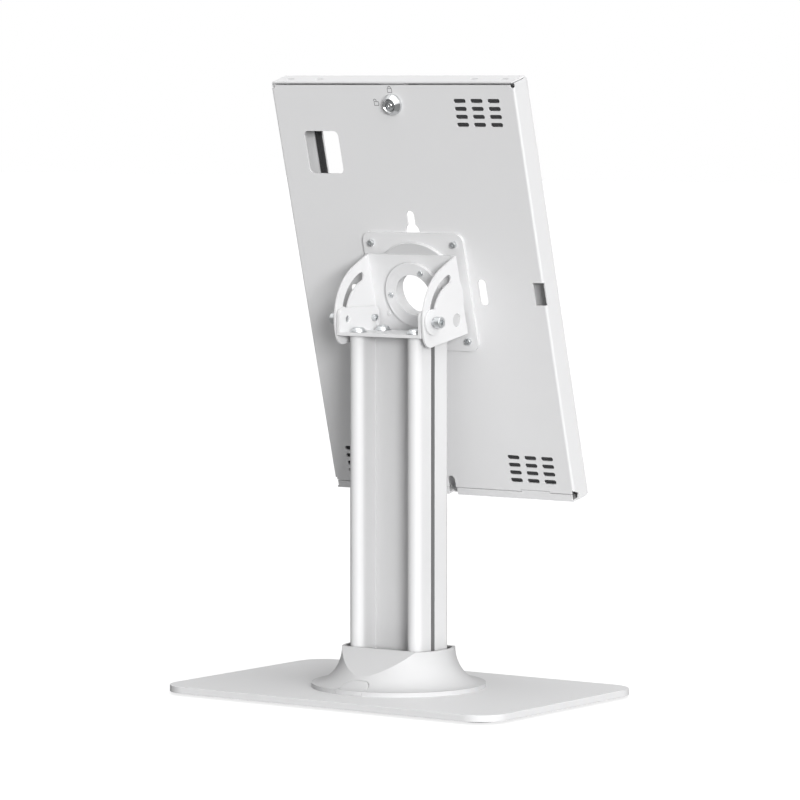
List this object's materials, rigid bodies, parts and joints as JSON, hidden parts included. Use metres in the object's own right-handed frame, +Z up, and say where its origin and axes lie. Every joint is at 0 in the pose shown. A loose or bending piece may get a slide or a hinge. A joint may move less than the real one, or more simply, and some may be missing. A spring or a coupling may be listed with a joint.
{
  "type": "tablet security kiosk stand",
  "caption": "Free-standing counter stand that holds a tablet in a lockable case on a tilting and turning head, with a grooved column and a flat base.",
  "frame": {"origin": "centre of the footprint on the counter, at the underside of the feet", "axes": "+Z up, the tablet's screen faces -Y, the lock and the tilt head are on the +Y side, +X is to the right of someone facing the screen from -Y"},
  "size_m": [0.3, 0.2, 0.4608],
  "materials": {
    "coated_steel": "white powder coat, fine satin",
    "coated_column": "white powder coat, fine satin",
    "white_plastic": "satin moulded",
    "zinc_steel": "zinc plated",
    "chrome": "polished",
    "rubber": "matte",
    "foam": "closed-cell foam"
  },
  "bodies": {
    "stand": {"base_plate": "coated_steel", "feet": "rubber", "base_screws": "zinc_steel", "column": "coated_column", "collar": "white_plastic", "cable_door": "white_plastic", "head_bracket": "coated_steel", "head_screws": "zinc_steel", "pivot_screws": "zinc_steel", "pivot_bushes": "white_plastic", "clamp_bolts": "zinc_steel", "clamp_washers": "coated_steel"},
    "tilt_head": {"tilt_bracket": "coated_steel", "limit_pin": "coated_steel", "slip_washers": "white_plastic"},
    "case": {"adapter_plate": "coated_steel", "hub": "coated_steel", "hub_flange": "coated_steel", "hub_screws": "zinc_steel", "plate_screws": "zinc_steel", "plate_nuts": "zinc_steel", "back_shell": "coated_steel", "side_spacers": "foam", "end_spacers": "foam", "back_pads": "foam", "lock_body": "chrome", "lock_nut": "zinc_steel"},
    "lock": {"lock_plug": "chrome", "lock_cam": "zinc_steel", "cam_screw": "zinc_steel"},
    "front": {"front_frame": "coated_steel", "frame_catch": "coated_steel", "window_gasket": "foam"}
  },
  "joints": [
    {"name": "tilt", "type": "hinge", "parent": "stand", "child": "tilt_head", "pos_m": [0, -0.0173, 0.2803], "axis": [-1, 0, 0], "range_deg": [-8, 71]},
    {"name": "turn", "type": "hinge", "parent": "tilt_head", "child": "case", "pos_m": [0, -0.02996, 0.30067], "axis": [0, 0.9659, -0.2588], "range_deg": [-90, 90]},
    {"name": "open_front", "type": "hinge", "parent": "case", "child": "front", "pos_m": [0, -0.07205, 0.14589], "axis": [1, 0, 0], "range_deg": [0, 75]},
    {"name": "key_turn", "type": "hinge", "parent": "case", "child": "lock", "pos_m": [0, 0.00731, 0.43976], "axis": [0, -0.9659, 0.2588], "range_deg": [0, 90]}
  ]
}
